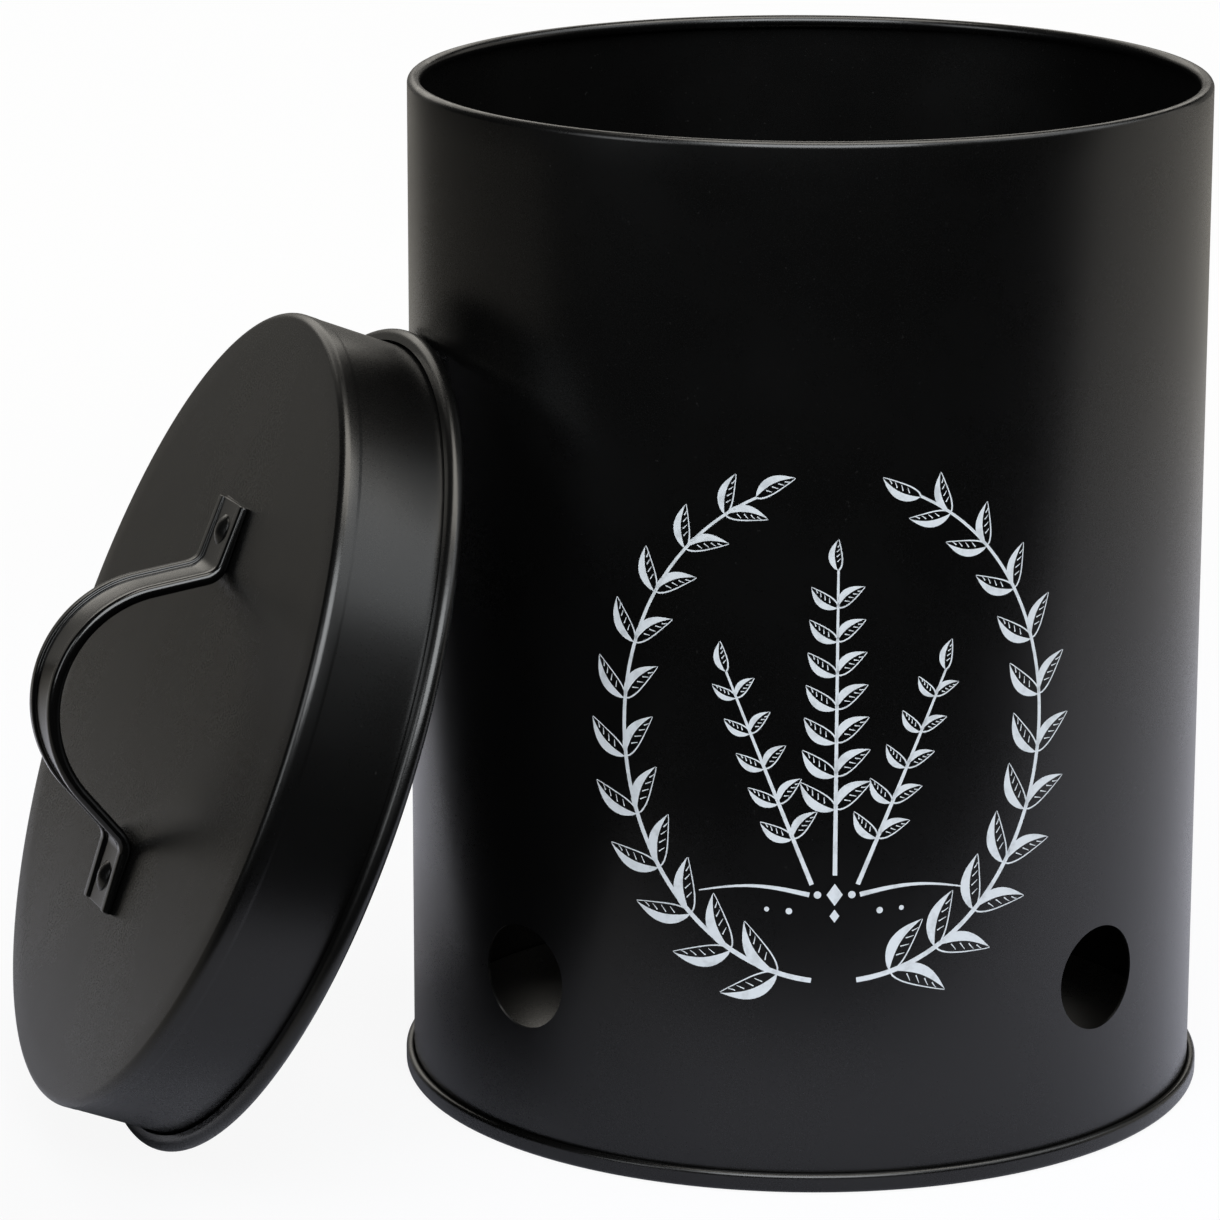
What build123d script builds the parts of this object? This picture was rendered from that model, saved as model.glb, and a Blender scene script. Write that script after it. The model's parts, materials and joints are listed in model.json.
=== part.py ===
from build123d import *
from math import asin, cos, degrees, hypot, pi, radians, sin, tan
import os

# A tall round tin for keeping onions, with four air vents low in its wall.
# Its deep cap lid is off, stands on its edge and leans on the wall.
# Sizes are millimetres and angles are degrees. +Z is up, the front of the tin faces -Y,
# and the origin is the centre of the tin's base, on the floor.

# Tin
tin_radius = 82.5
tin_height = 212.0
sheet = 0.5
lip_radius = 1.35
vent_radius = 10.8
vent_height = 37.0
vent_count = 4
first_vent_angle = 45.0

# Folded joint between the wall and the base
seam_height = 3.9
seam_slack = 0.08
seam_edge = 0.35
hem_width = 1.16
base_recess = 5.0

# Folded seam down the back of the wall
side_seam_width = 5.0
side_seam_height = 0.45
side_seam_end_gap = 1.2

# Lid
lid_clearance = 0.7
lid_height = 25.0
lid_shoulder = 1.6
lid_bead_depth = 4.4
lid_bead_height = 0.25
lid_rim_radius = 2.1

# Strap handle
strap_width = 18.6
strap_height = 2.6
strap_sheet = 0.8
strap_hem = 3.4
strap_edge = 0.5
arch_rise = 24.4
arch_radius = 23.9
leg_angle = 60.0
foot_bend = 5.5
foot_length = 15.5
handle_turn = 4.3

# Rivets
rivet_head_radius = 3.2
rivet_head_rise = 1.4
rivet_shank_radius = 1.6
rivet_hole_clearance = 0.1
rivet_tail_radius = 2.6
rivet_tail_height = 0.9

# How the lid leans
lean_bearing = 198.7
face_bearing = 197.0
lean_tilt = 21.3
lean_gap = 0.3

# Narrow flats that stand for the rounding of bent sheet and rivet heads
roll_flat_count = 8
shoulder_flat_count = 3
dome_flat_count = 2

# Sizes that follow from the ones above
half_sheet = sheet / 2
inside_radius = tin_radius - sheet
roll_depth = cos(pi / roll_flat_count)
lid_wall_line = tin_radius + lid_clearance + half_sheet
lid_rim_line = lid_wall_line - half_sheet + lid_rim_radius * roll_depth


def arc_points(centre, radius, start, end, flats):
    """Points on an arc that is bent in a number of narrow flats, start and end included."""
    points = []
    for i in range(flats + 1):
        angle = radians(start + (end - start) * i / flats)
        points.append((centre[0] + radius * cos(angle), centre[1] + radius * sin(angle)))
    return points


def sheet_outline(line, thickness):
    """Closed outline of a bent sheet whose middle line runs through the points."""
    steps = []
    for i in range(len(line) - 1):
        run = line[i + 1][0] - line[i][0]
        rise = line[i + 1][1] - line[i][1]
        length = hypot(run, rise)
        steps.append((run / length, rise / length))
    upper = []
    lower = []
    for i in range(len(line)):
        before = steps[max(i - 1, 0)]
        after = steps[min(i, len(steps) - 1)]
        across = (-before[1] - after[1], before[0] + after[0])
        scale = thickness / 2 / (1 + before[0] * after[0] + before[1] * after[1])
        upper.append((line[i][0] + across[0] * scale, line[i][1] + across[1] * scale))
        lower.append((line[i][0] - across[0] * scale, line[i][1] - across[1] * scale))
    return make_face(Polyline(upper + lower[::-1], close=True))


def bar(low, high):
    """Rectangle between two opposite corners."""
    middle = Pos((low[0] + high[0]) / 2, (low[1] + high[1]) / 2)
    return middle * Rectangle(high[0] - low[0], high[1] - low[1])


def roll(radius, turn):
    """Section of a sheet edge rolled tight, turned so that its square corner meets the sheet."""
    depth = radius * roll_depth
    corner = bar((0, -depth), (depth, 0))
    section = RegularPolygon(radius, roll_flat_count, rotation=180 / roll_flat_count) + corner
    return Rot(0, 0, turn) * section


def spun(face):
    """The solid that a face drawn in radius and height makes round the Z axis."""
    return revolve(Plane.XZ * face, Axis.Z)


def tin_wall():
    """Rolled wall with its lip curled into the mouth, its vents and its seam down the back."""
    foot = sheet + seam_slack
    hem_top = seam_height - foot
    lip_depth = lip_radius * roll_depth
    section = bar((inside_radius, foot), (tin_radius, tin_height - lip_depth))
    section = section + bar((inside_radius, foot), (tin_radius + hem_width, hem_top))
    section = section + Pos(tin_radius - lip_depth, tin_height - lip_depth) * roll(lip_radius, 0)
    wall = spun(section)

    seam_low = seam_height + side_seam_end_gap
    seam_high = tin_height - 2 * lip_depth - side_seam_end_gap
    seam_depth = side_seam_height + half_sheet
    strip = Box(side_seam_width, seam_depth, seam_high - seam_low)
    ridge = Pos(0, tin_radius - half_sheet + seam_depth / 2, (seam_low + seam_high) / 2) * strip
    outer_edges = ridge.edges().filter_by(Axis.Z).group_by(Axis.Y)[-1]
    wall = wall + fillet(outer_edges, side_seam_height * 0.8)

    cutter = Rot(90, 0, 0) * Cylinder(vent_radius, tin_radius / 2)
    for i in range(vent_count):
        angle = first_vent_angle + i * 360 / vent_count
        wall = wall - Pos(0, 0, vent_height) * Rot(0, 0, angle) * Pos(0, -tin_radius, 0) * cutter
    return wall


def base_panel():
    """Recessed base whose edge goes down inside the wall and is folded up round its foot."""
    inner_line = inside_radius - seam_slack - half_sheet
    outer_line = tin_radius + hem_width + seam_slack + half_sheet
    top = seam_height - half_sheet
    line = [
        (0, base_recess + half_sheet),
        (inner_line, base_recess + half_sheet),
        (inner_line, half_sheet),
        (outer_line, half_sheet),
        (outer_line, top),
        (tin_radius + seam_slack, top),
    ]
    section = sheet_outline(line, sheet)
    top_corner = section.vertices().group_by(Axis.X)[-1].sort_by(Axis.Y)[-1]
    return spun(chamfer(top_corner, seam_edge))


def hole_in_lid():
    """Cutter for one rivet hole through the lid's face and a strap foot."""
    return Cylinder(rivet_shank_radius + rivet_hole_clearance, 4 * strap_height)


def foot_bend_place():
    """How far out the straight leg would meet the lid's face."""
    return arch_radius * sin(radians(leg_angle)) + leg_drop() / tan(radians(leg_angle))


def leg_drop():
    """Height of the arch's lower ends above the lid's face."""
    return arch_rise - arch_radius * (1 - cos(radians(leg_angle)))


def rivet_place():
    """How far from the lid's middle a rivet sits, halfway along the flat of a foot."""
    flat_start = foot_bend_place() + foot_bend * tan(radians(leg_angle / 2))
    return (flat_start + foot_bend_place() + foot_length) / 2


def lid_cap():
    """Deep pressed cap: flat face, rounded shoulder with a fine bead, wall and rolled rim."""
    top = lid_height - half_sheet
    shoulder = lid_shoulder - half_sheet
    bead_line = lid_wall_line + lid_bead_height
    bead_end = lid_height - lid_bead_depth
    rim_depth = lid_rim_radius * roll_depth
    line = [(0, top)]
    line += arc_points((bead_line - shoulder, top - shoulder), shoulder, 90, 0, shoulder_flat_count)
    line += [
        (bead_line, bead_end),
        (lid_wall_line, bead_end - 2 * lid_bead_height),
        (lid_wall_line, rim_depth),
    ]
    rim = Pos(lid_rim_line, rim_depth) * roll(lid_rim_radius, 180)
    cap = spun(sheet_outline(line, sheet) + rim)
    for way in (-1, 1):
        cap = cap - Pos(0, way * rivet_place(), lid_height) * hole_in_lid()
    return cap


def strap_path():
    """Under line of the strap, from the end of one foot over the arch to the other."""
    angle = radians(leg_angle)
    centre = arch_rise - arch_radius
    arch_x = arch_radius * sin(angle)
    arch_z = centre + arch_radius * cos(angle)
    bend_x = foot_bend_place()
    back = foot_bend * tan(angle / 2)
    flat = (bend_x + back, 0)
    rising = (bend_x - back * cos(angle), back * sin(angle))
    half = (bend_x + back - foot_bend * sin(angle / 2), foot_bend * (1 - cos(angle / 2)))
    tip = (bend_x + foot_length, 0)
    right = [
        Line(tip, flat),
        ThreePointArc(flat, half, rising),
        Line(rising, (arch_x, arch_z)),
    ]
    left = [
        Line((-arch_x, arch_z), (-rising[0], rising[1])),
        ThreePointArc((-rising[0], rising[1]), (-half[0], half[1]), (-flat[0], 0)),
        Line((-flat[0], 0), (-tip[0], 0)),
    ]
    arch = ThreePointArc((arch_x, arch_z), (0, arch_rise), (-arch_x, arch_z))
    return Plane.YZ * Wire([edge.edge() for edge in right + [arch] + left])


def handle_strap():
    """Arched strap with folded edges, its feet flat on the lid and each pierced for a rivet."""
    edge = strap_width / 2
    section = bar((-edge, 0), (edge, strap_height))
    section = chamfer(section.vertices().group_by(Axis.Y)[-1], strap_edge)
    section = section - bar((strap_hem - edge, strap_sheet), (edge - strap_hem, 2 * strap_height))
    tip = foot_bend_place() + foot_length
    start = Plane(origin=(0, tip, 0), x_dir=(1, 0, 0), z_dir=(0, -1, 0))
    strap = sweep(start * section, path=strap_path())
    for way in (-1, 1):
        strap = strap - Pos(0, way * rivet_place(), 0) * hole_in_lid()
    return Pos(0, 0, lid_height) * strap


def rivet(way):
    """Domed rivet through one foot and the lid's face, with its end spread inside the lid."""
    seat = lid_height + strap_sheet
    under = lid_height - sheet
    dome = (rivet_head_radius**2 + rivet_head_rise**2) / (2 * rivet_head_rise)
    steepest = 90 - degrees(asin(rivet_head_radius / dome))
    crown = arc_points((0, seat + rivet_head_rise - dome), dome, 90, steepest, dome_flat_count)
    shank = [
        (rivet_shank_radius, seat),
        (rivet_shank_radius, under),
        (rivet_tail_radius, under),
        (rivet_tail_radius, under - rivet_tail_height),
        (0, under - rivet_tail_height),
    ]
    outline = make_face(Polyline(crown + shank, close=True))
    return Pos(0, way * rivet_place(), 0) * spun(outline)


def leaning_lid_place(lid):
    """Place of the lid's open edge: its rim touches the floor and stops just off the wall."""
    tilt = radians(lean_tilt)
    facing = radians(face_bearing)
    bearing = radians(lean_bearing)
    normal = Vector(cos(tilt) * cos(facing), cos(tilt) * sin(facing), sin(tilt))
    across = Vector(-sin(facing), cos(facing), 0)
    turned = Plane(origin=(0, 0, 0), x_dir=across, z_dir=normal).location
    lift = -(turned * lid).bounding_box().min.Z

    near = 1.0
    far = 4 * tin_radius
    for _ in range(50):
        reach = (near + far) / 2
        closest = far
        for i in range(-60, 61):
            around = radians(i)
            inward = lid_rim_radius * cos(tilt) - lid_rim_line * sin(tilt) * cos(around)
            sideways = lid_rim_line * sin(around)
            x = reach * cos(bearing) + inward * cos(facing) - sideways * sin(facing)
            y = reach * sin(bearing) + inward * sin(facing) + sideways * cos(facing)
            closest = min(closest, hypot(x, y) - lid_rim_radius - tin_radius)
        if closest > lean_gap:
            far = reach
        else:
            near = reach
    return Pos(reach * cos(bearing), reach * sin(bearing), lift) * turned


os.makedirs("parts", exist_ok=True)
lid = lid_cap()
handle_place = leaning_lid_place(lid) * Rot(0, 0, handle_turn)
pieces = {
    "tin_wall": tin_wall(),
    "base_panel": base_panel(),
    "lid_cap": handle_place * lid,
    "handle_strap": handle_place * handle_strap(),
    "upper_rivet": handle_place * rivet(1),
    "lower_rivet": handle_place * rivet(-1),
}
for name, piece in pieces.items():
    export_step(piece, f"parts/{name}.step")
    size = piece.bounding_box()
    print(name, "solids", len(piece.solids()), "valid", piece.is_valid, "volume", round(piece.volume, 1))
    print("   low", [round(v, 3) for v in size.min], "high", [round(v, 3) for v in size.max])
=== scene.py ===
import json
import math

import bmesh
import bpy
from bpy.props import FloatProperty, FloatVectorProperty, IntProperty, PointerProperty
from mathutils import Matrix, Vector

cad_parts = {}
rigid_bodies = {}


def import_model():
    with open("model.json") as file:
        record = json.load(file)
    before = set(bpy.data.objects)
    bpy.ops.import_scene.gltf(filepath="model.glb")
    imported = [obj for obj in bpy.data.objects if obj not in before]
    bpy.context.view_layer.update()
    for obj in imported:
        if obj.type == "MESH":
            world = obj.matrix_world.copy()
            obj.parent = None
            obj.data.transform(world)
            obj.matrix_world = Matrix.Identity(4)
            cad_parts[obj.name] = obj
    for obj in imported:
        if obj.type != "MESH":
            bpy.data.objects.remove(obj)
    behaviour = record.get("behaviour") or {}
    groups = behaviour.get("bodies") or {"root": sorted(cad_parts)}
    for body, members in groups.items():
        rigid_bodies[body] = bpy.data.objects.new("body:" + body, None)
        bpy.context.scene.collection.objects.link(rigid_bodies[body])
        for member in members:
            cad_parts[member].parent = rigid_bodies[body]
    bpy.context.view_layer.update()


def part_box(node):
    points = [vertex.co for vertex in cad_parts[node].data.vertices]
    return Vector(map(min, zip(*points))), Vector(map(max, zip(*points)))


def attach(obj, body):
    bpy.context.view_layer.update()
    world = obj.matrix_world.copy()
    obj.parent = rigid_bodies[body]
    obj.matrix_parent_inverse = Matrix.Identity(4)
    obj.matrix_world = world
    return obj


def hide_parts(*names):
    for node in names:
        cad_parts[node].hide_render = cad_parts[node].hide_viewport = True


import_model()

bl_info = {
    "name": "Onion Storage Tin",
    "version": (1, 0, 0),
    "blender": (4, 5, 0),
    "location": "View3D > Sidebar > Onion Tin",
    "description": "Dresses a round storage tin, its leaning cap lid and its strap handle",
    "category": "Object",
}

WALL_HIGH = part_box("tin_wall")[1]
MM = 0.001

# Steps of a full turn
ROUND_STEPS = 288
RIVET_STEPS = 64
VENT_STEPS = 96

# Where the leaning lid stands: the centre of its open edge, its tilt and the way it faces
LID_CENTRE = Vector((-0.107888, -0.036518, 0.080719))
LID_TILT = math.radians(21.3)
LID_FACING = math.radians(197.0)
HANDLE_TURN = math.radians(4.3)

# The wall: the first vent's bearing, the seam down the back and the heights on the lip that are made
# lighter, as rubbed wear and as a painted highlight
FIRST_VENT = math.radians(45)
BACK_SEAM_WIDTH = 0.005
BACK_SEAM_DEPTH = 0.0009
BACK_SEAM_EDGE = 0.0004
BACK_SEAM_LOW_GAP = 0.0012
BACK_SEAM_HIGH_GAP = 0.001
LIP_WEAR_AND_HIGHLIGHT = (0.2105, 0.2118)

# The folded foot: room between its sheets, the wall's hem inside it and how deep the sheet tucks in
FOOT_SLACK = 0.00008
FOOT_HEM = 0.00116
FOOT_TUCK = 0.0016
FOOT_BENDS = (0.0009, 0.0005, 0.0007, 0.0007, 0.00035)

# The lid: height and bend of the step under its bead, and the longest face along a wall
BEAD_SLOPE = 0.0006
BEAD_BEND = 0.0014
LONGEST_FACE = 0.006

# The strap: where its feet start to be pressed, over what length, and the rounding of their ends
PRESS_START = 0.001
PRESS_LENGTH = 0.005
STRAP_END_EDGE = 0.0003

# The rivets under their heads
SHANK_RADIUS = 0.0016
SHANK_SEAT = 0.0004
TAIL_RADIUS = 0.0026
TAIL_END = 0.0023
TAIL_HEIGHT = 0.0009
TAIL_BEND = 0.0005
DOME_STEPS = 14

# The print, in millimetres on the flat: heights above the floor, and the wreath's half axes
PRINT_TURN = math.radians(2.6)
PRINT_REACH = 0.00004
WREATH_MIDDLE = Vector((0, 95))
WREATH_AXES = (43, 51)
WREATH_PAIRS = 11
SPRIG_FOOT = 66
TALL_SPRIG = 62
LOW_SPRIG = 43
RULE_HEIGHT = 62
HATCHES = (0.28, 0.44, 0.60, 0.75)

# The camera solved on the photograph: millimetres, then radians, then metres
CAMERA_LENS = 162.58
CAMERA_YAW = math.radians(-0.112)
CAMERA_PITCH = math.radians(14.65)
CAMERA_ROLL = math.radians(0.066)
CAMERA_PLACE = (-0.0386, -1.1195, 0.3911)

# Each lamp: name, its power and colour in StudioSetup, then size, place and target
LAMPS = (
    ("top_lamp", "top", "cool", (1.2, 0.9), (0, -1.0, 1.08), (0, 0, 0.08)),
    ("back_lamp", "back_lamp", "warm", (2.2, 0.9), (-0.2, 1.75, 1.1), (0, 0, 0.1)),
    ("key_lamp", "key", "cool", (1.3, 0.7), (0.92, -0.12, 1.12), (-0.05, -0.12, 0.12)),
    ("over_lamp", "over", "warm", (1.1, 0.65), (0.15, 0.05, 1.3), (0.15, 0.05, 0.1)),
    ("back_card", "back_card", "warm", (3.7, 0.6), (-0.35, 1.95, 0.32), (-0.35, 0, 0.32)),
    ("upper_card", "upper_card", "warm", (1.5, 0.45), (-0.85, 1.9, 0.78), (-0.1, 0, 0.15)),
    ("left_lamp", "left", "cool", (0.5, 0.6), (-1.04, -0.73, 0.63), (-0.14, -0.04, 0.1)),
    ("right_card", "right_card", "warm", (1.5, 1.0), (1.45, 0.55, 0.52), (0, 0.1, 0.52)),
)

# The floor's size and height, its tones as the coat reflects them, with painted shade far off, on
# the left and in front, and the air's light
FLOOR_SIZE = (4.4, 4.6)
FLOOR_HEIGHT = -0.0002
FLOOR_FAR_SHADE = (0.48, 0.46, 0.43)
FLOOR_LEFT_SHADE = (0.165, 0.156, 0.142)
FLOOR_FRONT_SHADE = (0.006, 0.006, 0.006)
AIR_COLOUR = (0.95, 0.98, 1.0)
AIR_LIGHT = 0.012


# Sizes and colours that a user would change

class TinSizes(bpy.types.PropertyGroup):
    """Sizes of the tin's wall and base."""

    radius: FloatProperty(
        name="Radius", description="Outside radius of the wall", default=0.0825, unit="LENGTH"
    )
    height: FloatProperty(
        name="Height", description="Height of the lip above the floor",
        default=WALL_HIGH.z, unit="LENGTH",
    )
    sheet: FloatProperty(
        name="Sheet", description="Thickness of the sheet metal", default=0.0005, unit="LENGTH"
    )
    lip: FloatProperty(
        name="Lip radius", description="Radius of the curled lip", default=0.00135, unit="LENGTH"
    )
    vent_radius: FloatProperty(
        name="Vent radius", description="Radius of the air vents", default=0.0108, unit="LENGTH"
    )
    vent_height: FloatProperty(
        name="Vent height", description="Height of the vents' centres", default=0.037, unit="LENGTH"
    )
    vent_count: IntProperty(
        name="Vents", description="Number of air vents round the wall", default=4
    )
    foot_height: FloatProperty(
        name="Foot height", description="Height of the folded foot", default=0.0039, unit="LENGTH"
    )
    base_recess: FloatProperty(
        name="Base recess", description="Height of the base above the floor",
        default=0.005, unit="LENGTH",
    )


class LidSizes(bpy.types.PropertyGroup):
    """Sizes of the cap lid."""

    inside_radius: FloatProperty(
        name="Inside radius", description="Radius inside the lid's wall",
        default=0.0832, unit="LENGTH",
    )
    height: FloatProperty(
        name="Height", description="Height of the lid over its open edge",
        default=0.025, unit="LENGTH",
    )
    shoulder: FloatProperty(
        name="Shoulder", description="Rounding between the lid's face and wall",
        default=0.0018, unit="LENGTH",
    )
    bead_depth: FloatProperty(
        name="Bead depth", description="How far below the face the fine bead ends",
        default=0.0036, unit="LENGTH",
    )
    bead_rise: FloatProperty(
        name="Bead rise", description="How far the bead stands out from the wall",
        default=0.00006, unit="LENGTH",
    )
    rim_reach: FloatProperty(
        name="Rim reach", description="How far the rolled rim stands out from the wall",
        default=0.00399, unit="LENGTH",
    )
    rim_depth: FloatProperty(
        name="Rim depth", description="Height of the rolled rim", default=0.0035, unit="LENGTH"
    )


class StrapSizes(bpy.types.PropertyGroup):
    """Sizes of the strap handle and its rivets."""

    width: FloatProperty(
        name="Width", description="Width of the strap", default=0.0186, unit="LENGTH"
    )
    thickness: FloatProperty(
        name="Thickness", description="Thickness at the rolled edges", default=0.0026, unit="LENGTH"
    )
    step: FloatProperty(
        name="Step", description="How far the rolled edges stand above the middle",
        default=0.0008, unit="LENGTH",
    )
    hem: FloatProperty(
        name="Hem", description="Width of the rolled edges", default=0.0034, unit="LENGTH"
    )
    arch_rise: FloatProperty(
        name="Arch rise", description="Height of the arch over the lid",
        default=0.0244, unit="LENGTH",
    )
    arch_radius: FloatProperty(
        name="Arch radius", description="Inside radius of the arch", default=0.0239, unit="LENGTH"
    )
    leg_angle: FloatProperty(
        name="Leg angle", description="Slope of the legs where they leave the arch",
        default=math.radians(60), subtype="ANGLE",
    )
    foot_bend: FloatProperty(
        name="Foot bend", description="Bend radius above the feet", default=0.0055, unit="LENGTH"
    )
    foot_length: FloatProperty(
        name="Foot length", description="Length of a foot beyond its bend",
        default=0.0155, unit="LENGTH",
    )
    pressed: FloatProperty(
        name="Pressed", description="Share by which the feet are pressed thinner",
        default=0.35, min=0, max=0.9, subtype="FACTOR",
    )
    rivet_radius: FloatProperty(
        name="Rivet radius", description="Radius of a rivet's head", default=0.0032, unit="LENGTH"
    )
    rivet_rise: FloatProperty(
        name="Rivet rise", description="Height of a rivet's domed head",
        default=0.0014, unit="LENGTH",
    )


class TinFinish(bpy.types.PropertyGroup):
    """Colours of the coat and the print."""

    coat: FloatVectorProperty(
        name="Coat", description="Colour of the matt powder coat", subtype="COLOR",
        size=3, default=(0.0012, 0.00118, 0.00115), min=0, max=1,
    )
    coat_roughness: FloatProperty(
        name="Coat roughness", description="How matt the powder coat is",
        default=0.28, min=0, max=1, subtype="FACTOR",
    )
    print_ink: FloatVectorProperty(
        name="Print", description="Colour of the screen print", subtype="COLOR",
        size=3, default=(0.65, 0.69, 0.725), min=0, max=1,
    )


class StudioSetup(bpy.types.PropertyGroup):
    """Powers and colours of the lamps, the cards and the floor."""

    top: FloatProperty(
        name="Top lamp", description="Power of the wide lamp high in front",
        default=25.0, unit="POWER",
    )
    key: FloatProperty(
        name="Key lamp", description="Power of the lamp high on the right",
        default=5.5, unit="POWER",
    )
    left: FloatProperty(
        name="Left lamp", description="Power of the small lamp on the left",
        default=3.0, unit="POWER",
    )
    over: FloatProperty(
        name="Overhead lamp", description="Power of the lamp straight above",
        default=11.0, unit="POWER",
    )
    back_lamp: FloatProperty(
        name="Back lamp", description="Power of the wide lamp high behind",
        default=8.0, unit="POWER",
    )
    back_card: FloatProperty(
        name="Back card", description="Power of the warm card behind", default=1.4, unit="POWER"
    )
    upper_card: FloatProperty(
        name="Upper card", description="Power of the card high behind on the left",
        default=1.1, unit="POWER",
    )
    right_card: FloatProperty(
        name="Right card", description="Power of the warm card on the right",
        default=2.4, unit="POWER",
    )
    cool: FloatVectorProperty(
        name="Cool light", description="Colour of the top, key and left lamps", subtype="COLOR",
        size=3, default=(0.95, 0.98, 1.0), min=0, max=1,
    )
    warm: FloatVectorProperty(
        name="Warm light", description="Colour of the other lamps and the cards", subtype="COLOR",
        size=3, default=(1.0, 0.96, 0.88), min=0, max=1,
    )
    floor: FloatVectorProperty(
        name="Floor", description="Colour of the pale floor", subtype="COLOR",
        size=3, default=(0.555, 0.56, 0.635), min=0, max=1,
    )


# Shapes

def line_of(points, bends):
    """A bmesh with one open line through (radius, height) points, its inner corners rounded."""
    bm = bmesh.new()
    corners = [bm.verts.new((point[0], 0, point[1])) for point in points]
    for first, second in zip(corners, corners[1:]):
        bm.edges.new((first, second))
    round_corners(bm, corners[1:-1], bends)
    return bm


def round_corners(bm, corners, bends):
    """Rounds each corner of a line with a bend of the given radius."""
    for corner, bend in zip(corners, bends):
        if bend == 0:
            continue
        ways = [(edge.other_vert(corner).co - corner.co).normalized() for edge in corner.link_edges]
        turn = math.pi - ways[0].angle(ways[1])
        bmesh.ops.bevel(
            bm, geom=[corner], offset=bend * math.tan(turn / 2), offset_type="OFFSET",
            segments=max(2, round(turn / math.radians(11))), profile=0.5,
            affect="VERTICES", material=-1, clamp_overlap=False,
        )
    bmesh.ops.remove_doubles(bm, verts=bm.verts, dist=1e-7)


def subdivide_long(bm, longest):
    """Cuts the long straight runs of a line, so that the wall has rows of even faces."""
    for edge in [e for e in bm.edges if e.calc_length() > longest]:
        cuts = math.ceil(edge.calc_length() / longest) - 1
        bmesh.ops.subdivide_edges(bm, edges=[edge], cuts=cuts)


def turn_round(bm, steps=ROUND_STEPS):
    """Spins everything in the bmesh once round the Z axis and closes the pole."""
    bmesh.ops.spin(
        bm, geom=bm.verts[:] + bm.edges[:], cent=(0, 0, 0), axis=(0, 0, 1), dvec=(0, 0, 0),
        angle=math.tau, steps=steps, use_merge=True, use_duplicate=False,
    )
    bmesh.ops.remove_doubles(bm, verts=bm.verts, dist=1e-6)
    bmesh.ops.recalc_face_normals(bm, faces=bm.faces)


def piece_from(bm, name, place=None):
    """Makes an object at the origin from a bmesh, with its place in its mesh."""
    if place is not None:
        bmesh.ops.transform(bm, matrix=place, verts=bm.verts)
    mesh = bpy.data.meshes.new(name)
    bm.to_mesh(mesh)
    bm.free()
    piece = bpy.data.objects.new(name, mesh)
    bpy.context.scene.collection.objects.link(piece)
    return piece


def smooth(piece, angle=32):
    """Smooth shading that keeps the real edges sharp."""
    mesh = piece.data
    mesh.shade_smooth()
    mesh.set_sharp_from_angle(angle=math.radians(angle))


def finish_piece(piece, body, coat, *nodes):
    """Gives a piece its coat and its body, and hides the solids that it stands for."""
    piece.data.materials.clear()
    piece.data.materials.append(coat)
    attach(piece, body)
    if nodes:
        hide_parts(*nodes)


def settle(piece):
    """Applies the modifiers of a piece to its mesh."""
    bpy.context.view_layer.update()
    graph = bpy.context.evaluated_depsgraph_get()
    mesh = bpy.data.meshes.new_from_object(piece.evaluated_get(graph))
    piece.modifiers.clear()
    piece.data = mesh


def lid_place():
    """Matrix from the lid's own axes, Z out of its face and Y along the strap, to where it leans."""
    normal = Vector((
        math.cos(LID_TILT) * math.cos(LID_FACING),
        math.cos(LID_TILT) * math.sin(LID_FACING),
        math.sin(LID_TILT),
    ))
    across = Vector((-math.sin(LID_FACING), math.cos(LID_FACING), 0))
    upward = normal.cross(across)
    axes = Matrix((across, upward, normal)).transposed().to_4x4()
    return Matrix.Translation(LID_CENTRE) @ axes @ Matrix.Rotation(HANDLE_TURN, 4, "Z")


def rivet_reach():
    """How far a rivet sits from the lid's middle, halfway along the flat of a foot."""
    strap = bpy.context.scene.onion_strap
    bend_reach = foot_corner(strap)
    flat_start = bend_reach + strap.foot_bend * math.tan(strap.leg_angle / 2)
    return (flat_start + bend_reach + strap.foot_length) / 2


def foot_corner(strap):
    """How far out the straight leg would meet the lid's face."""
    drop = strap.arch_rise - strap.arch_radius * (1 - math.cos(strap.leg_angle))
    return strap.arch_radius * math.sin(strap.leg_angle) + drop / math.tan(strap.leg_angle)


# Shader maths

class Wire:
    """A shader socket that takes part in Python sums and adds its Math nodes."""

    def __init__(self, tree, socket):
        self.tree = tree
        self.socket = socket

    def _maths(self, operation, first, second=None):
        node = self.tree.nodes.new("ShaderNodeMath")
        node.operation = operation
        for place, value in enumerate((first, second)):
            if isinstance(value, Wire):
                self.tree.links.new(value.socket, node.inputs[place])
            elif value is not None:
                node.inputs[place].default_value = value
        return Wire(self.tree, node.outputs[0])

    def __add__(self, other):
        return self._maths("ADD", self, other)

    def __radd__(self, other):
        return self._maths("ADD", other, self)

    def __sub__(self, other):
        return self._maths("SUBTRACT", self, other)

    def __rsub__(self, other):
        return self._maths("SUBTRACT", other, self)

    def __mul__(self, other):
        return self._maths("MULTIPLY", self, other)

    def __rmul__(self, other):
        return self._maths("MULTIPLY", other, self)

    def ramp(self, low, high):
        """0 below low, 1 above high, and smooth between them."""
        node = self.tree.nodes.new("ShaderNodeMapRange")
        node.interpolation_type = "SMOOTHSTEP"
        self.tree.links.new(self.socket, node.inputs["Value"])
        node.inputs["From Min"].default_value = low
        node.inputs["From Max"].default_value = high
        return Wire(self.tree, node.outputs["Result"])


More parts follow.
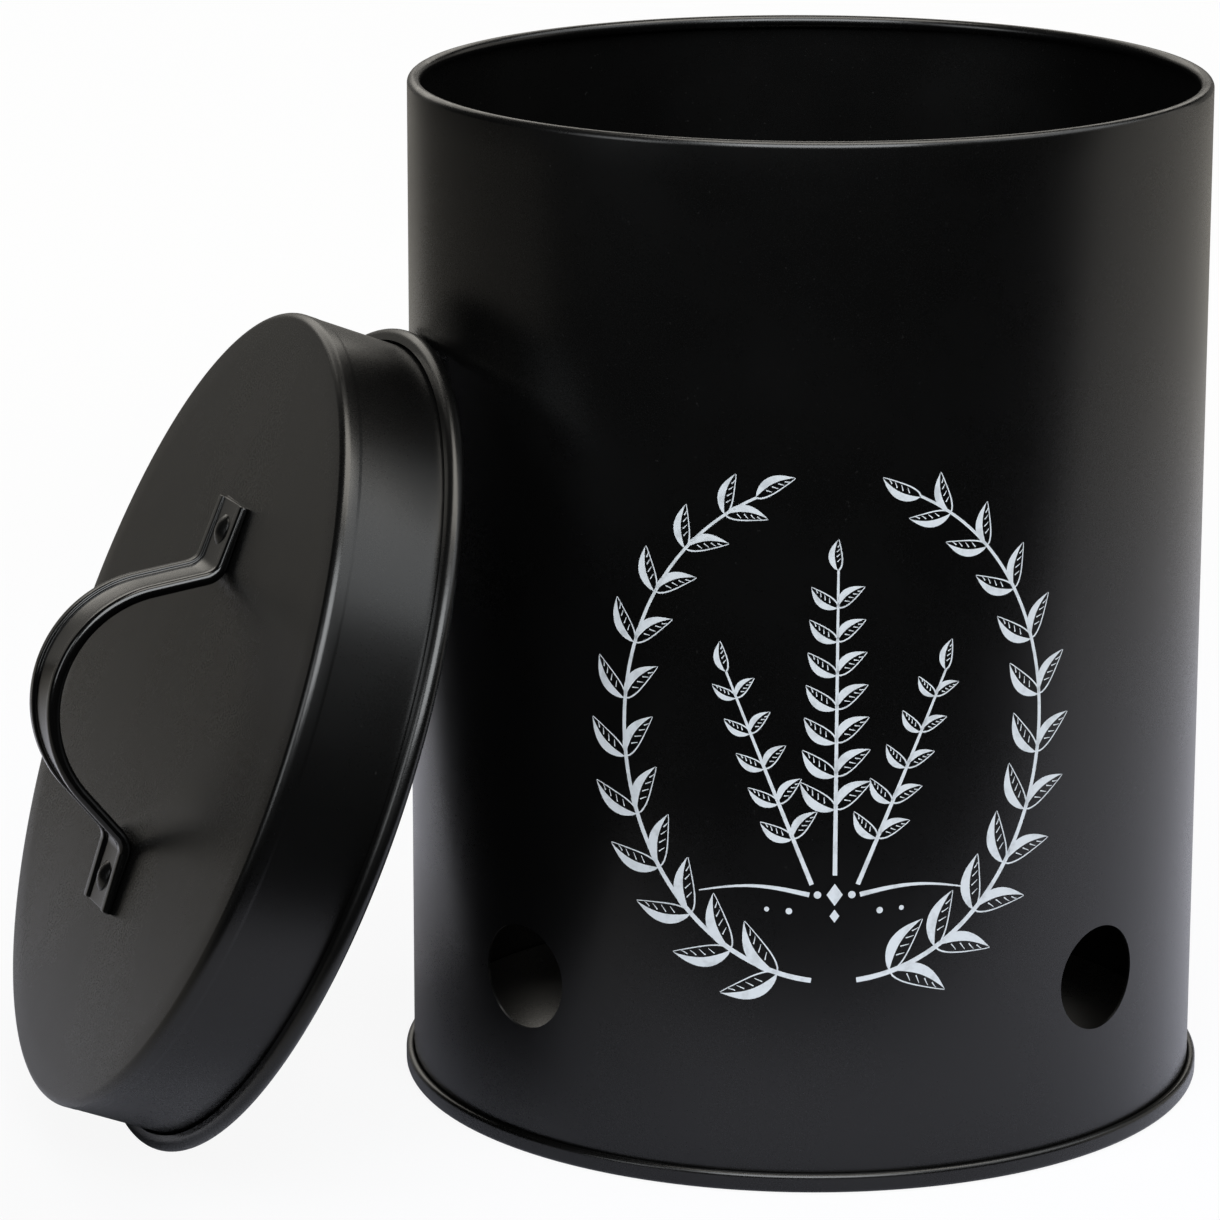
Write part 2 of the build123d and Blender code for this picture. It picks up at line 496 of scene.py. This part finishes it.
class Finish:
    """A material and its nodes, with one method that makes any node."""

    def __init__(self, name):
        self.material = bpy.data.materials.new(name)
        self.material.use_nodes = True
        self.tree = self.material.node_tree
        self.tree.nodes.clear()
        self.output = self.tree.nodes.new("ShaderNodeOutputMaterial")

    def node(self, kind, settings=None, sockets=None):
        """A node of a kind, its settings set first, then its sockets' values or links."""
        made = self.tree.nodes.new(kind)
        for key, value in (settings or {}).items():
            setattr(made, key, value)
        for key, value in (sockets or {}).items():
            socket = made.inputs[key]
            if isinstance(value, Wire):
                self.tree.links.new(value.socket, socket)
            else:
                socket.default_value = value
        return made

    def wire(self, node, output=0):
        """An output of a node, ready for sums."""
        return Wire(self.tree, node.outputs[output])

    def place(self):
        """Object coordinates."""
        return self.wire(self.node("ShaderNodeTexCoord"), "Object")

    def noise(self, scale, detail=3.0, roughness=0.55, stretch=(1, 1, 1)):
        """Noise with so many waves to the metre, stretched along X, Y or Z."""
        mapped = self.node(
            "ShaderNodeMapping", {"vector_type": "POINT"},
            {"Vector": self.place(), "Scale": stretch},
        )
        made = self.node(
            "ShaderNodeTexNoise", {"noise_dimensions": "3D"},
            {"Vector": self.wire(mapped), "Scale": scale, "Detail": detail, "Roughness": roughness},
        )
        return self.wire(made, "Fac")

    def mix(self, factor, first, second):
        """A colour between two colours."""
        made = self.node(
            "ShaderNodeMix", {"data_type": "RGBA", "blend_type": "MIX"},
            {0: factor, 6: first, 7: second},
        )
        return self.wire(made, 2)

    def bump(self, height, strength, distance):
        """A normal raised by a height."""
        made = self.node(
            "ShaderNodeBump", None, {"Height": height, "Strength": strength, "Distance": distance}
        )
        return self.wire(made, "Normal")

    def surface(self, sockets):
        """The Principled shader, joined to the output."""
        shader = self.node("ShaderNodeBsdfPrincipled", None, sockets)
        self.tree.links.new(shader.outputs[0], self.output.inputs["Surface"])
        return shader


def rgba(colour, share=1.0):
    """A colour with its alpha, made lighter or darker."""
    return (colour[0] * share, colour[1] * share, colour[2] * share, 1.0)


def powder_coat(name, wear_and_highlight=None, matt=1.0):
    """Black powder coat: fine orange peel, faint cloudiness and a few dust specks.

    worn gives where the coat is made lighter and glossier, as rubbed wear and as a painted
    highlight, and a share of matt below 1 makes it glossier.
    """
    finish = bpy.context.scene.onion_finish
    coat = Finish(name)
    clouds = coat.noise(26, detail=4)
    grain = coat.noise(2600, detail=2)
    peel = coat.noise(900, detail=2)
    dust = coat.noise(1500, detail=1, roughness=0.3).ramp(0.755, 0.80)
    tone = coat.mix(clouds.ramp(0.3, 0.7), rgba(finish.coat, 0.82), rgba(finish.coat, 1.18))
    tone = coat.mix(dust * 0.35, tone, rgba(finish.coat, 18.0))
    roughness = finish.coat_roughness * matt + (clouds - 0.5) * 0.10 + (grain - 0.5) * 0.06
    if wear_and_highlight is not None:
        # A lighter, glossier band on the lip: rubbed wear and a painted highlight
        rub_and_highlight = wear_and_highlight(coat)
        tone = coat.mix(rub_and_highlight, tone, rgba(finish.coat, 8.0))
        roughness = roughness - rub_and_highlight * 0.3
    height = peel * 0.7 + grain * 0.3
    coat.surface({
        "Base Color": tone,
        "Roughness": roughness,
        "IOR": 1.5,
        "Normal": coat.bump(height, 0.16, 0.00006),
    })
    return coat.material


def screen_print(name):
    """Pale blue-grey ink, a little uneven where the screen left it thin."""
    finish = bpy.context.scene.onion_finish
    ink = Finish(name)
    thin = ink.noise(420, detail=4).ramp(0.30, 0.52)
    mesh_marks = ink.noise(3200, detail=1)
    tone = ink.mix(thin, rgba(finish.print_ink, 0.82), rgba(finish.print_ink, 1.0))
    ink.surface({
        "Base Color": tone,
        "Roughness": 0.52 + (mesh_marks - 0.5) * 0.12,
        "IOR": 1.45,
        "Normal": ink.bump(mesh_marks, 0.12, 0.00003),
    })
    return ink.material


# The pieces

class ONION_OT_wall(bpy.types.Operator):
    """Rolled wall with its curled lip, vents and back seam"""

    bl_idname = "onion.wall"
    bl_label = "Tin wall"

    def execute(self, context):
        tin = context.scene.onion_tin
        half = tin.sheet / 2
        line = tin.radius - half
        curl = tin.lip - half
        top = tin.height - half
        bm = line_of(
            [
                (line, tin.foot_height * 0.3),
                (line, top),
                (line - 2 * curl, top),
                (line - 2 * curl, top - 2 * curl),
                (line - 0.7 * curl, top - 2 * curl),
            ],
            [curl] * 3,
        )
        subdivide_long(bm, LONGEST_FACE)
        turn_round(bm)
        wall = piece_from(bm, "wall_sheet")
        thickness = wall.modifiers.new("Sheet", "SOLIDIFY")
        thickness.thickness = tin.sheet
        thickness.offset = 0
        thickness.use_even_offset = True
        for index in range(tin.vent_count):
            self.cut_vent(wall, tin, index)
        settle(wall)
        for cutter in [o for o in bpy.data.objects if o.name.startswith("vent_cutter")]:
            bpy.data.objects.remove(cutter)
        smooth(wall)
        self.back_seam(tin)
        finish_piece(wall, "tin", powder_coat("wall_coat", self.worn_lip_and_highlight), "tin_wall")
        return {"FINISHED"}

    def cut_vent(self, wall, tin, index):
        """Cuts one round vent through the wall."""
        bm = bmesh.new()
        bmesh.ops.create_cone(
            bm, cap_ends=True, segments=VENT_STEPS, radius1=tin.vent_radius,
            radius2=tin.vent_radius, depth=0.03,
        )
        angle = FIRST_VENT + index * math.tau / tin.vent_count
        place = (
            Matrix.Translation((0, 0, tin.vent_height))
            @ Matrix.Rotation(angle, 4, "Z")
            @ Matrix.Translation((0, -tin.radius, 0))
            @ Matrix.Rotation(math.pi / 2, 4, "X")
        )
        cutter = piece_from(bm, f"vent_cutter_{index}", place)
        cut = wall.modifiers.new("Vent", "BOOLEAN")
        cut.operation = "DIFFERENCE"
        cut.solver = "EXACT"
        cut.object = cutter

    def back_seam(self, tin):
        """The folded seam that closes the rolled sheet at the back."""
        low = tin.foot_height + BACK_SEAM_LOW_GAP
        high = tin.height - 2 * tin.lip - BACK_SEAM_HIGH_GAP
        bm = bmesh.new()
        bmesh.ops.create_cube(bm, size=1)
        bmesh.ops.scale(bm, vec=(BACK_SEAM_WIDTH, BACK_SEAM_DEPTH, high - low), verts=bm.verts)
        upright = [e for e in bm.edges if abs(e.verts[0].co.z - e.verts[1].co.z) > 0.01]
        outer = [e for e in upright if e.verts[0].co.y > 0]
        bmesh.ops.bevel(
            bm, geom=outer, offset=BACK_SEAM_EDGE, segments=5, profile=0.5,
            affect="EDGES", material=-1,
        )
        bmesh.ops.translate(bm, vec=(0, tin.radius, (low + high) / 2), verts=bm.verts)
        seam = piece_from(bm, "back_seam")
        smooth(seam)
        finish_piece(seam, "tin", powder_coat("seam_coat"))

    @staticmethod
    def worn_lip_and_highlight(coat):
        """Where hands have rubbed the lip a little lighter, which also paints a highlight along its
        top.
        """
        split = coat.node("ShaderNodeSeparateXYZ", None, {"Vector": coat.place()})
        height = coat.wire(split, "Z")
        return height.ramp(*LIP_WEAR_AND_HIGHLIGHT) * coat.noise(180).ramp(0.45, 0.72) * 0.35


class ONION_OT_base(bpy.types.Operator):
    """Recessed base with its folded foot ring"""

    bl_idname = "onion.base"
    bl_label = "Base and foot"

    def execute(self, context):
        tin = context.scene.onion_tin
        half = tin.sheet / 2
        inner = tin.radius - tin.sheet - FOOT_SLACK - half
        outer = tin.radius + FOOT_HEM + FOOT_SLACK + half
        tuck = tin.radius + FOOT_SLACK + half
        top = tin.foot_height - half
        bm = line_of(
            [
                (0, tin.base_recess + half),
                (inner, tin.base_recess + half),
                (inner, half),
                (outer, half),
                (outer, top),
                (tuck, top),
                (tuck, top - FOOT_TUCK),
            ],
            FOOT_BENDS,
        )
        turn_round(bm)
        base = piece_from(bm, "base_and_foot")
        thickness = base.modifiers.new("Sheet", "SOLIDIFY")
        thickness.thickness = tin.sheet
        thickness.offset = 0
        settle(base)
        smooth(base)
        finish_piece(base, "tin", powder_coat("base_coat"), "base_panel")
        return {"FINISHED"}


class ONION_OT_lid(bpy.types.Operator):
    """Deep cap lid with a fine bead and a rolled rim"""

    bl_idname = "onion.lid"
    bl_label = "Cap lid"

    def execute(self, context):
        tin = context.scene.onion_tin
        lid = context.scene.onion_lid
        half = tin.sheet / 2
        line = lid.inside_radius + half
        bead = line + lid.bead_rise
        step = lid.height - lid.bead_depth
        out = line + lid.rim_reach - 2 * half
        up = lid.rim_depth - half
        roll = (lid.rim_depth - 2 * half) / 2
        bm = line_of(
            [
                (0, lid.height - half),
                (bead, lid.height - half),
                (bead, step),
                (line, step - BEAD_SLOPE),
                (line, half),
                (out, half),
                (out, up),
                (line + 0.6 * roll, up),
            ],
            [lid.shoulder - half, BEAD_BEND, BEAD_BEND, roll, roll, roll],
        )
        subdivide_long(bm, LONGEST_FACE)
        turn_round(bm)
        cap = piece_from(bm, "cap_lid", lid_place())
        thickness = cap.modifiers.new("Sheet", "SOLIDIFY")
        thickness.thickness = tin.sheet
        thickness.offset = 0
        settle(cap)
        smooth(cap)
        finish_piece(cap, "lid", powder_coat("lid_coat"), "lid_cap")
        return {"FINISHED"}


class ONION_OT_strap(bpy.types.Operator):
    """Arched strap handle with rolled edges"""

    bl_idname = "onion.strap"
    bl_label = "Strap handle"

    def execute(self, context):
        strap = context.scene.onion_strap
        bm = self.section(strap)
        self.sweep(bm, strap)
        bmesh.ops.mirror(
            bm, geom=bm.verts[:] + bm.edges[:] + bm.faces[:], axis="Y", merge_dist=1e-6,
            matrix=Matrix.Identity(4),
        )
        bmesh.ops.remove_doubles(bm, verts=bm.verts, dist=1e-6)
        bmesh.ops.recalc_face_normals(bm, faces=bm.faces)
        for vert in bm.verts:
            along = (abs(vert.co.y) - foot_corner(strap) - PRESS_START) / PRESS_LENGTH
            pressed = min(max(along, 0), 1)
            vert.co.z *= 1 - strap.pressed * pressed
        bmesh.ops.translate(bm, vec=(0, 0, context.scene.onion_lid.height), verts=bm.verts)
        handle = piece_from(bm, "strap_handle", lid_place())
        smooth(handle, 40)
        finish_piece(handle, "lid", powder_coat("strap_coat", matt=0.62), "handle_strap")
        return {"FINISHED"}

    def section(self, strap):
        """Closed outline of the strap at the top of its arch: rolled edges beside a flat middle."""
        edge = strap.width / 2
        inner = edge - strap.hem
        middle = strap.thickness - strap.step
        right = [(edge, 0), (edge, strap.thickness), (inner, strap.thickness), (inner, middle)]
        outline = right + [(-x, z) for x, z in reversed(right)]
        bm = bmesh.new()
        corners = [bm.verts.new((x, 0, strap.arch_rise + z)) for x, z in outline]
        for first, second in zip(corners, corners[1:] + corners[:1]):
            bm.edges.new((first, second))
        roll = strap.thickness * 0.46
        bends = [roll, roll, strap.step * 0.8, strap.step * 0.4]
        round_corners(bm, corners, bends + bends[::-1])
        return bm

    def sweep(self, bm, strap):
        """Carries the outline over half the arch, down a leg, round the bend and along a foot."""
        centre = Vector((0, 0, strap.arch_rise - strap.arch_radius))
        self.arc(bm, centre, -strap.leg_angle, 30)
        slope = Vector((0, math.cos(strap.leg_angle), -math.sin(strap.leg_angle)))
        corner = Vector((0, foot_corner(strap), 0))
        back = strap.foot_bend * math.tan(strap.leg_angle / 2)
        outward = Vector((0, math.sin(strap.leg_angle), math.cos(strap.leg_angle)))
        arch_end = centre + strap.arch_radius * outward
        self.run(bm, slope * ((corner - arch_end).length - back))
        bend_centre = corner + Vector((0, back, strap.foot_bend))
        self.arc(bm, bend_centre, strap.leg_angle, 12)
        self.run(bm, Vector((0, strap.foot_length - back, 0)))
        end = self.open_end(bm)
        bmesh.ops.contextual_create(bm, geom=end)
        bmesh.ops.bevel(
            bm, geom=end, offset=STRAP_END_EDGE, segments=3, profile=0.5,
            affect="EDGES", material=-1,
        )

    def open_end(self, bm):
        """Edges of the outline at the far end of what is made so far."""
        if not bm.faces:
            return bm.edges[:]
        bounds = [e for e in bm.edges if e.is_boundary]
        return [e for e in bounds if min(v.co.y for v in e.verts) > 1e-6]

    def arc(self, bm, centre, angle, steps):
        """Carries the open end round a centre."""
        end = self.open_end(bm)
        verts = list({v for e in end for v in e.verts})
        bmesh.ops.spin(
            bm, geom=verts + end, cent=centre, axis=(1, 0, 0), dvec=(0, 0, 0), angle=angle,
            steps=steps, use_merge=False, use_duplicate=False,
        )

    def run(self, bm, travel):
        """Carries the open end straight on."""
        made = bmesh.ops.extrude_edge_only(bm, edges=self.open_end(bm))["geom"]
        moved = [v for v in made if isinstance(v, bmesh.types.BMVert)]
        bmesh.ops.translate(bm, vec=travel, verts=moved)


class ONION_OT_rivets(bpy.types.Operator):
    """Two domed rivets that hold the strap"""

    bl_idname = "onion.rivets"
    bl_label = "Rivets"

    def execute(self, context):
        strap = context.scene.onion_strap
        lid = context.scene.onion_lid
        seat = lid.height + (strap.thickness - strap.step) * (1 - strap.pressed)
        under = lid.height - context.scene.onion_tin.sheet
        coat = powder_coat("rivet_coat")
        for way, node in ((1, "upper_rivet"), (-1, "lower_rivet")):
            edge = strap.rivet_rise * 0.2
            rise = strap.rivet_rise - edge
            dome = (strap.rivet_radius ** 2 + rise ** 2) / (2 * rise)
            bm = line_of(
                [
                    (strap.rivet_radius, seat + edge),
                    (strap.rivet_radius, seat - SHANK_SEAT),
                    (SHANK_RADIUS, seat - SHANK_SEAT),
                    (SHANK_RADIUS, under),
                    (TAIL_RADIUS, under),
                    (TAIL_END, under - TAIL_HEIGHT),
                    (0, under - TAIL_HEIGHT),
                ],
                [0, 0, 0, 0, TAIL_BEND],
            )
            crown = [v for v in bm.verts if v.co.z > seat]
            bmesh.ops.spin(
                bm, geom=crown, cent=(0, 0, seat + strap.rivet_rise - dome), axis=(0, 1, 0),
                dvec=(0, 0, 0), angle=-math.asin(strap.rivet_radius / dome), steps=DOME_STEPS,
                use_merge=False, use_duplicate=False,
            )
            turn_round(bm, RIVET_STEPS)
            bmesh.ops.translate(bm, vec=(0, way * rivet_reach(), 0), verts=bm.verts)
            rivet = piece_from(bm, f"{node}_dome", lid_place())
            smooth(rivet, 40)
            finish_piece(rivet, "lid", coat, node)
        return {"FINISHED"}


class ONION_OT_print(bpy.types.Operator):
    """Garden wreath and sprigs in pale ink on the front"""

    bl_idname = "onion.print"
    bl_label = "Front print"

    def execute(self, context):
        tin = context.scene.onion_tin
        bm = bmesh.new()
        for side in (-1, 1):
            self.branch(bm, side)
        self.sprigs(bm)
        self.border(bm)
        reach = tin.radius + PRINT_REACH
        for vert in bm.verts:
            angle = vert.co.x * MM / tin.radius + PRINT_TURN
            vert.co = (reach * math.sin(angle), -reach * math.cos(angle), vert.co.y * MM)
        bmesh.ops.recalc_face_normals(bm, faces=bm.faces)
        for face in bm.faces:
            middle = face.calc_center_median()
            if face.normal.dot(Vector((middle.x, middle.y, 0))) < 0:
                face.normal_flip()
        artwork = piece_from(bm, "front_print")
        smooth(artwork)
        artwork.data.materials.append(screen_print("print_ink"))
        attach(artwork, "tin")
        return {"FINISHED"}

    def stroke(self, bm, path, widths, steps=14):
        """A ribbon along a path on the flat: path and widths are functions of 0 to 1."""
        made = bmesh.ops.create_grid(bm, x_segments=steps, y_segments=2, size=0.5)["verts"]
        for vert in made:
            along = vert.co.x + 0.5
            across = vert.co.y * widths(along)
            here = Vector(path(along))
            ahead = Vector(path(min(along + 0.01, 1.0))) - Vector(path(max(along - 0.01, 0.0)))
            ahead.normalize()
            vert.co = (here.x - ahead.y * across, here.y + ahead.x * across, 0)

    def leaf(self, bm, root, angle, length, width):
        """An engraved leaf: one half solid, the other an edge with hatching."""
        heading = Vector((math.cos(angle), math.sin(angle)))
        beside = Vector((-heading.y, heading.x))

        def at(along, across):
            bow = 0.10 * length * math.sin(math.pi * along)
            return root + heading * (along * length) + beside * (across + bow)

        def swell(along):
            return width / 2 * math.sin(math.pi * along ** 0.8) ** 0.9

        self.stroke(bm, lambda t: at(t, 0.12 + swell(t) * 0.5), lambda t: max(swell(t) - 0.1, 0.02))
        self.stroke(bm, lambda t: at(t, -swell(t)), lambda t: 0.34 * (1 - 0.5 * t))
        for mark in HATCHES:
            self.stroke(
                bm,
                lambda t, m=mark: at(m + 0.10 * t, -0.25 - (swell(m + 0.10 * t) * 0.72 - 0.2) * t),
                lambda t: 0.26 * (1 - 0.6 * t),
            )

    def branch(self, bm, side):
        """One half of the wreath: a curved stem with paired leaves."""
        wide, high = WREATH_AXES

        def stem(t):
            angle = math.radians(-84 + 152 * t)
            return WREATH_MIDDLE + Vector((side * wide * math.cos(angle), high * math.sin(angle)))

        self.stroke(bm, stem, lambda t: 1.05 * (1 - 0.5 * t), steps=120)
        for index in range(WREATH_PAIRS):
            t = 0.06 + 0.88 * index / (WREATH_PAIRS - 1)
            here = stem(t)
            ahead = stem(min(t + 0.02, 1)) - stem(t - 0.02)
            heading = math.atan2(ahead.y, ahead.x)
            size = 12.6 - 4.4 * t
            for way in (-1, 1):
                self.leaf(bm, here, heading + way * math.radians(40), size, size * 0.36)
        tip = stem(1.0)
        ahead = stem(1.0) - stem(0.97)
        self.leaf(bm, tip, math.atan2(ahead.y, ahead.x), 8.6, 3.2)

    def sprigs(self, bm):
        """Three upright herb sprigs in the middle of the wreath."""
        low = (LOW_SPRIG, 5, 0.82)
        for foot, lean, (height, pairs, share) in (
            (0, 0, (TALL_SPRIG, 7, 1)), (-13, -0.20, low), (13, 0.20, low)
        ):
            def stem(t, foot=foot, height=height, lean=lean):
                across = foot * 0.35 + lean * height * t * 1.1 + foot * 0.6 * t
                return Vector((across, SPRIG_FOOT + height * t - (TALL_SPRIG - height) * 0.1))

            self.stroke(bm, stem, lambda t: 0.9 * (1 - 0.5 * t), steps=40)
            upright = math.pi / 2 - lean
            for index in range(pairs):
                t = 0.22 + 0.66 * index / (pairs - 1)
                size = (9.6 - 3.4 * t) * share
                for way in (-1, 1):
                    self.leaf(bm, stem(t), upright + way * math.radians(52), size, size * 0.42)
            self.leaf(bm, stem(1.0), upright, 6.2, 2.6)

    def border(self, bm):
        """A tapered rule with a diamond and dots, under the sprigs."""
        for side in (-1, 1):
            def rule(t, side=side):
                return Vector((side * (5 + 22 * t), RULE_HEIGHT + 1.6 * math.sin(math.pi * t)))

            self.stroke(bm, rule, lambda t: 1 - 0.75 * t, steps=30)
            self.dot(bm, (side * 3.4, RULE_HEIGHT), 0.75)
            self.dot(bm, (side * 9, RULE_HEIGHT - 3.4), 0.65)
            self.dot(bm, (side * 13.4, RULE_HEIGHT - 3.1), 0.5)
        self.diamond(bm, (0, RULE_HEIGHT), 2.0)
        self.diamond(bm, (0, RULE_HEIGHT - 4.4), 1.2)

    def dot(self, bm, centre, radius):
        """A round dot on the flat."""
        made = bmesh.ops.create_circle(bm, cap_ends=True, segments=20, radius=radius)["verts"]
        bmesh.ops.translate(bm, vec=(centre[0], centre[1], 0), verts=made)

    def diamond(self, bm, centre, radius):
        """A small upright diamond on the flat."""
        made = bmesh.ops.create_circle(bm, cap_ends=True, segments=4, radius=radius)["verts"]
        bmesh.ops.scale(bm, vec=(0.8, 1.15, 1), verts=made)
        bmesh.ops.translate(bm, vec=(centre[0], centre[1], 0), verts=made)


class ONION_OT_studio(bpy.types.Operator):
    """Pale floor, soft lamps and the camera"""

    bl_idname = "onion.studio"
    bl_label = "Studio"

    def execute(self, context):
        scene = context.scene
        studio = scene.onion_studio
        scene.view_settings.view_transform = "Standard"
        self.camera(scene)
        self.floor(studio)
        self.world(scene)
        for name, power, colour, size, place, target in LAMPS:
            self.lamp(name, getattr(studio, power), getattr(studio, colour), size, place, target)
        return {"FINISHED"}

    def camera(self, scene):
        """The camera that took the photograph."""
        data = bpy.data.cameras.new("photo_camera")
        data.sensor_fit = "HORIZONTAL"
        data.sensor_width = 36
        data.lens = CAMERA_LENS
        camera = bpy.data.objects.new("photo_camera", data)
        scene.collection.objects.link(camera)
        ahead = Vector((
            math.sin(CAMERA_YAW) * math.cos(CAMERA_PITCH),
            math.cos(CAMERA_YAW) * math.cos(CAMERA_PITCH),
            -math.sin(CAMERA_PITCH),
        ))
        level = Vector((math.cos(CAMERA_YAW), -math.sin(CAMERA_YAW), 0))
        upward = level.cross(ahead)
        right = level * math.cos(CAMERA_ROLL) + upward * math.sin(CAMERA_ROLL)
        top = right.cross(ahead)
        axes = Matrix((right, top, -ahead)).transposed().to_4x4()
        camera.matrix_world = Matrix.Translation(CAMERA_PLACE) @ axes
        scene.camera = camera

    def floor(self, studio):
        """Pale paper, near white to the camera; in the coat's reflections it has soft tones, with
        painted shade far off and on the left, and near black painted shade in front.
        """
        bm = bmesh.new()
        bmesh.ops.create_grid(bm, x_segments=1, y_segments=1, size=0.5)
        bmesh.ops.scale(bm, vec=(*FLOOR_SIZE, 1), verts=bm.verts)
        bmesh.ops.translate(bm, vec=(0, 0, FLOOR_HEIGHT), verts=bm.verts)
        floor = piece_from(bm, "floor")
        paper = Finish("floor_paper")
        seen = paper.wire(paper.node("ShaderNodeLightPath"), "Is Camera Ray")
        fibres = paper.noise(60, detail=4)
        reach = paper.node("ShaderNodeVectorMath", {"operation": "LENGTH"}, {0: paper.place()})
        split = paper.node("ShaderNodeSeparateXYZ", None, {"Vector": paper.place()})
        across, deep = paper.wire(split, "X"), paper.wire(split, "Y")
        # Painted shade seen only in reflections: darker far off, darker on the left under the
        # leaning lid, near black in front
        left = (0.0 - across - deep * 0.5).ramp(0.05, 0.35)
        front = (0.0 - deep).ramp(0.17, 0.22)
        far = paper.wire(reach, "Value").ramp(0.15, 0.9)
        near = paper.mix(fibres, rgba(studio.floor, 0.98), rgba(studio.floor, 1.0))
        tone = paper.mix(far, near, rgba(FLOOR_FAR_SHADE))
        tone = paper.mix(left, tone, rgba(FLOOR_LEFT_SHADE))
        tone = paper.mix(front, tone, rgba(FLOOR_FRONT_SHADE))
        diffuse = paper.node("ShaderNodeBsdfDiffuse", None, {"Color": tone, "Roughness": 0.4})
        white = paper.node("ShaderNodeEmission", None, {"Color": (1, 1, 1, 1), "Strength": 1.0})
        lit = seen * (0.98 - 0.06 * ((1.0 - far) * (1.0 - front)))
        mixed = paper.node("ShaderNodeMixShader", None, {0: lit})
        paper.tree.links.new(diffuse.outputs[0], mixed.inputs[1])
        paper.tree.links.new(white.outputs[0], mixed.inputs[2])
        paper.tree.links.new(mixed.outputs[0], paper.output.inputs["Surface"])
        floor.data.materials.append(paper.material)

    def world(self, scene):
        """White behind the object to the camera, and faint light everywhere else."""
        world = bpy.data.worlds.new("studio_air")
        scene.world = world
        world.use_nodes = True
        tree = world.node_tree
        tree.nodes.clear()
        output = tree.nodes.new("ShaderNodeOutputWorld")
        path = tree.nodes.new("ShaderNodeLightPath")
        mixed = tree.nodes.new("ShaderNodeMixShader")
        tree.links.new(path.outputs["Is Camera Ray"], mixed.inputs[0])
        for place, colour, strength in ((1, AIR_COLOUR, AIR_LIGHT), (2, (1, 1, 1), 1.0)):
            sky = tree.nodes.new("ShaderNodeBackground")
            sky.inputs["Color"].default_value = rgba(colour)
            sky.inputs["Strength"].default_value = strength
            tree.links.new(sky.outputs[0], mixed.inputs[place])
        tree.links.new(mixed.outputs[0], output.inputs["Surface"])

    def lamp(self, name, power, colour, size, where, target):
        """A soft oblong lamp that faces its target."""
        data = bpy.data.lights.new(name, "AREA")
        data.shape = "RECTANGLE"
        data.size = size[0]
        data.size_y = size[1]
        data.energy = power
        data.color = colour
        lamp = bpy.data.objects.new(name, data)
        bpy.context.scene.collection.objects.link(lamp)
        aim = (Vector(target) - Vector(where)).to_track_quat("-Z", "Y").to_matrix().to_4x4()
        lamp.matrix_world = Matrix.Translation(where) @ aim


class VIEW3D_PT_onion_tin(bpy.types.Panel):
    bl_label = "Onion Tin"
    bl_space_type = "VIEW_3D"
    bl_region_type = "UI"
    bl_category = "Onion Tin"

    def draw(self, context):
        scene = context.scene
        for group in GROUPS:
            box = self.layout.box()
            values = getattr(scene, group)
            for key in values.bl_rna.properties.keys():
                if key not in ("rna_type", "name"):
                    box.prop(values, key)
        for operator in OPERATORS:
            self.layout.operator(operator.bl_idname)


GROUPS = {
    "onion_tin": TinSizes,
    "onion_lid": LidSizes,
    "onion_strap": StrapSizes,
    "onion_finish": TinFinish,
    "onion_studio": StudioSetup,
}
OPERATORS = [
    ONION_OT_wall,
    ONION_OT_base,
    ONION_OT_lid,
    ONION_OT_strap,
    ONION_OT_rivets,
    ONION_OT_print,
    ONION_OT_studio,
]


def register():
    for group, kind in GROUPS.items():
        bpy.utils.register_class(kind)
        setattr(bpy.types.Scene, group, PointerProperty(type=kind))
    for kind in OPERATORS:
        bpy.utils.register_class(kind)
    bpy.utils.register_class(VIEW3D_PT_onion_tin)


def unregister():
    bpy.utils.unregister_class(VIEW3D_PT_onion_tin)
    for kind in reversed(OPERATORS):
        bpy.utils.unregister_class(kind)
    for group, kind in GROUPS.items():
        delattr(bpy.types.Scene, group)
        bpy.utils.unregister_class(kind)


def main():
    register()
    bpy.ops.onion.wall()
    bpy.ops.onion.base()
    bpy.ops.onion.lid()
    bpy.ops.onion.strap()
    bpy.ops.onion.rivets()
    bpy.ops.onion.print()
    bpy.ops.onion.studio()
    bpy.context.view_layer.update()


if __name__ == "__main__":
    main()
